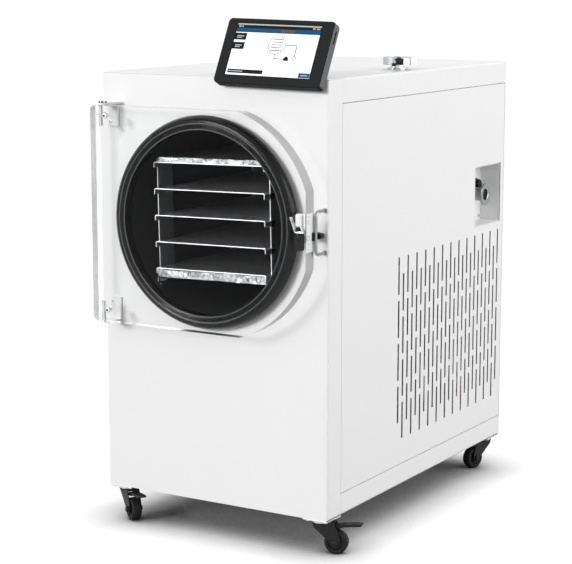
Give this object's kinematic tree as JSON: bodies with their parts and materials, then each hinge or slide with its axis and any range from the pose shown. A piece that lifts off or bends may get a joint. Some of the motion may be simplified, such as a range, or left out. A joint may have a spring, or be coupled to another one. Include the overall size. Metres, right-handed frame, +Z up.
{
  "type": "freeze dryer",
  "caption": "Floor-standing vacuum freeze dryer: white sheet cabinet on swivel casters, clear hinged door on a round shelved chamber, tilted touch display, side vacuum port.",
  "frame": {"origin": "middle of the bounding box at floor level, under the wheels", "axes": "+X to the right across the front, +Y from the door back into the cabinet, +Z up"},
  "size_m": [0.4634, 0.7036, 0.8318],
  "materials": {
    "white_paint": "smooth satin powder coat",
    "grey_paint": "satin paint",
    "clear_acrylic": "clear polished acrylic",
    "black_rubber": "matt black silicone rubber",
    "black_coat": "black enamel",
    "black_plastic": "fine-grained black plastic",
    "screen_glass": "lit touch screen",
    "shelf_steel": "fine brushed stainless steel",
    "foil": "crinkled metal foil",
    "pale_foam": "pale foam insulation",
    "polished_steel": "polished stainless steel",
    "cast_aluminium": "bare aluminium",
    "zinc_steel": "zinc plated steel",
    "black_tyre": "hard black rubber"
  },
  "bodies": {
    "cabinet": {"base_pan": "white_paint", "caster_front_left_plate": "zinc_steel", "caster_front_right_plate": "zinc_steel", "caster_rear_left_plate": "zinc_steel", "caster_rear_right_plate": "zinc_steel", "chamber_gasket": "black_rubber", "chamber_vessel": "black_coat", "compressor": "black_coat", "condenser": "cast_aluminium", "control_box": "grey_paint", "display_bracket": "black_plastic", "display_housing": "black_plastic", "display_screen": "screen_glass", "fan_shroud": "black_coat", "foil_blanket_bottom": "foil", "foil_blanket_top": "foil", "front_panel": "white_paint", "hinge_bracket_lower": "zinc_steel", "hinge_bracket_upper": "zinc_steel", "insulation_jacket": "pale_foam", "latch_strike": "polished_steel", "mains_inlet": "black_plastic", "pocket_gland": "black_plastic", "port_pocket": "white_paint", "rack_post_front_left": "shelf_steel", "rack_post_front_right": "shelf_steel", "rack_post_rear_left": "shelf_steel", "rack_post_rear_right": "shelf_steel", "rear_panel": "white_paint", "shelf_1": "shelf_steel", "shelf_2": "shelf_steel", "shelf_3": "shelf_steel", "shelf_4": "shelf_steel", "shelf_5": "shelf_steel", "side_panel_left": "white_paint", "side_panel_right": "white_paint", "side_vacuum_port": "polished_steel", "top_panel": "white_paint", "top_port_blank": "polished_steel", "top_port_clamp": "cast_aluminium", "top_port_stub": "polished_steel"},
    "door": {"door_panel": "clear_acrylic", "hinge_screw_upper": "polished_steel", "hinge_screw_lower": "polished_steel", "latch_base": "clear_acrylic"},
    "latch": {"latch_handle": "black_plastic", "latch_tongue": "black_plastic"},
    "clamp_nut": {"top_port_wing_nut": "black_plastic"},
    "fan": {"fan_rotor": "black_plastic"},
    "rocker": {"rocker_switch": "black_plastic"},
    "swivel_front_left": {"caster_front_left_fork": "black_coat"},
    "wheel_front_left": {"caster_front_left_wheel": "black_tyre"},
    "brake_front_left": {"caster_front_left_brake": "black_plastic"},
    "swivel_front_right": {"caster_front_right_fork": "black_coat"},
    "wheel_front_right": {"caster_front_right_wheel": "black_tyre"},
    "brake_front_right": {"caster_front_right_brake": "black_plastic"},
    "swivel_rear_left": {"caster_rear_left_fork": "black_coat"},
    "wheel_rear_left": {"caster_rear_left_wheel": "black_tyre"},
    "swivel_rear_right": {"caster_rear_right_fork": "black_coat"},
    "wheel_rear_right": {"caster_rear_right_wheel": "black_tyre"}
  },
  "joints": [
    {"name": "door_hinge", "type": "hinge", "parent": "cabinet", "child": "door", "pos_m": [-0.20567, -0.3295, 0.5195], "axis": [0, 0, -1], "range_deg": [0, 120]},
    {"name": "latch_turn", "type": "hinge", "parent": "door", "child": "latch", "pos_m": [0.16933, -0.3435, 0.51], "axis": [0, 1, 0], "range_deg": [0, 90]},
    {"name": "clamp_nut_spin", "type": "hinge", "parent": "cabinet", "child": "clamp_nut", "pos_m": [0.17262, -0.00689, 0.75805], "axis": [-0.454, -0.891, 0], "continuous": true},
    {"name": "fan_spin", "type": "hinge", "parent": "cabinet", "child": "fan", "pos_m": [-0.00167, 0.2685, 0.1788], "axis": [0, 1, 0], "continuous": true},
    {"name": "switch_rock", "type": "hinge", "parent": "cabinet", "child": "rocker", "pos_m": [-0.17167, 0.3448, 0.171], "axis": [-1, 0, 0], "range_deg": [0, 16]},
    {"name": "swivel_front_left", "type": "hinge", "parent": "cabinet", "child": "swivel_front_left", "pos_m": [-0.20867, -0.2705, 0.05], "axis": [0, 0, 1], "continuous": true},
    {"name": "roll_front_left", "type": "hinge", "parent": "swivel_front_left", "child": "wheel_front_left", "pos_m": [-0.18877, -0.28392, 0.019], "axis": [0.5592, 0.829, 0], "continuous": true},
    {"name": "brake_front_left", "type": "hinge", "parent": "swivel_front_left", "child": "brake_front_left", "pos_m": [-0.1925, -0.2814, 0.0442], "axis": [0.5592, 0.829, 0], "range_deg": [0, 12]},
    {"name": "swivel_front_right", "type": "hinge", "parent": "cabinet", "child": "swivel_front_right", "pos_m": [0.16533, -0.2705, 0.05], "axis": [0, 0, 1], "continuous": true},
    {"name": "roll_front_right", "type": "hinge", "parent": "swivel_front_right", "child": "wheel_front_right", "pos_m": [0.1884, -0.26388, 0.019], "axis": [-0.2756, 0.9613, 0], "continuous": true},
    {"name": "brake_front_right", "type": "hinge", "parent": "swivel_front_right", "child": "brake_front_right", "pos_m": [0.18408, -0.26513, 0.0442], "axis": [-0.2756, 0.9613, 0], "range_deg": [0, 12]},
    {"name": "swivel_rear_left", "type": "hinge", "parent": "cabinet", "child": "swivel_rear_left", "pos_m": [-0.20867, 0.3235, 0.05], "axis": [0, 0, 1], "continuous": true},
    {"name": "roll_rear_left", "type": "hinge", "parent": "swivel_rear_left", "child": "wheel_rear_left", "pos_m": [-0.20046, 0.30095, 0.019], "axis": [0.9397, 0.342, 0], "continuous": true},
    {"name": "swivel_rear_right", "type": "hinge", "parent": "cabinet", "child": "swivel_rear_right", "pos_m": [0.16533, 0.3235, 0.05], "axis": [0, 0, 1], "continuous": true},
    {"name": "roll_rear_right", "type": "hinge", "parent": "swivel_rear_right", "child": "wheel_rear_right", "pos_m": [0.15752, 0.30081, 0.019], "axis": [0.9455, -0.3256, 0], "continuous": true}
  ]
}
